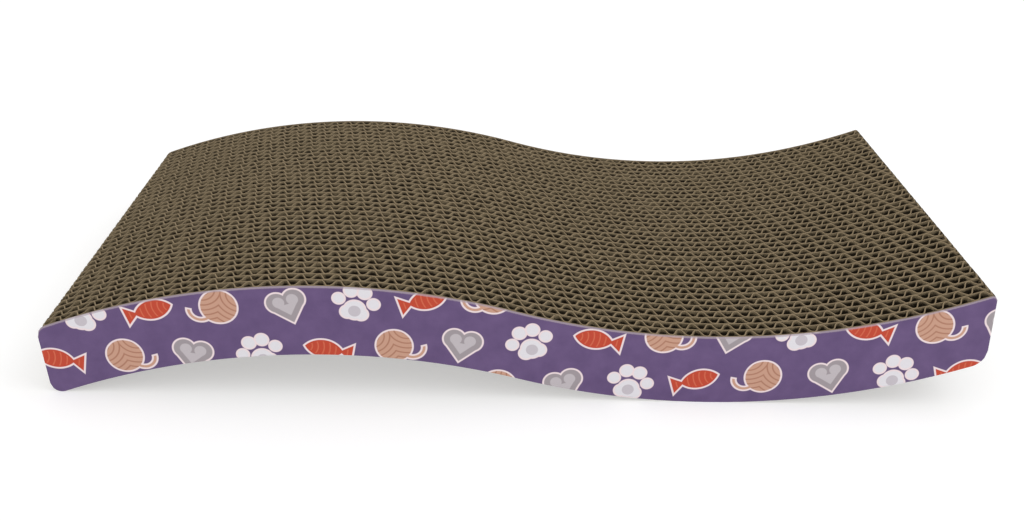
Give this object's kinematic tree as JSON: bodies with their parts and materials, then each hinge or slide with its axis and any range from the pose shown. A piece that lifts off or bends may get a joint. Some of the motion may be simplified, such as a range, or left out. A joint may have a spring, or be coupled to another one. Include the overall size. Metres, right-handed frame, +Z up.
{
  "type": "cardboard cat scratcher",
  "caption": "Wavy cat scratcher of fluted kraft board strips glued face to face, with a crest, a dip to lie in and printed sheets on its long sides.",
  "frame": {"origin": "middle of the bounding box on the floor that the scratcher stands on", "axes": "+X along the scratcher from the crest to the dip, +Y to its back, +Z up"},
  "size_m": [0.4508, 0.2234, 0.0616],
  "materials": {
    "kraft_board": "raw brown kraft, matt, with open flutes",
    "printed_paper": "purple printed paper, satin"
  },
  "bodies": {
    "root": {"board_01": "kraft_board", "board_02": "kraft_board", "board_03": "kraft_board", "board_04": "kraft_board", "board_05": "kraft_board", "board_06": "kraft_board", "board_07": "kraft_board", "board_08": "kraft_board", "board_09": "kraft_board", "board_10": "kraft_board", "board_11": "kraft_board", "board_12": "kraft_board", "board_13": "kraft_board", "board_14": "kraft_board", "board_15": "kraft_board", "board_16": "kraft_board", "board_17": "kraft_board", "board_18": "kraft_board", "board_19": "kraft_board", "board_20": "kraft_board", "board_21": "kraft_board", "board_22": "kraft_board", "board_23": "kraft_board", "board_24": "kraft_board", "board_25": "kraft_board", "board_26": "kraft_board", "board_27": "kraft_board", "board_28": "kraft_board", "board_29": "kraft_board", "board_30": "kraft_board", "board_31": "kraft_board", "board_32": "kraft_board", "board_33": "kraft_board", "board_34": "kraft_board", "board_35": "kraft_board", "board_36": "kraft_board", "board_37": "kraft_board", "back_liner": "kraft_board", "front_cover": "printed_paper", "back_cover": "printed_paper"}
  },
  "joints": []
}
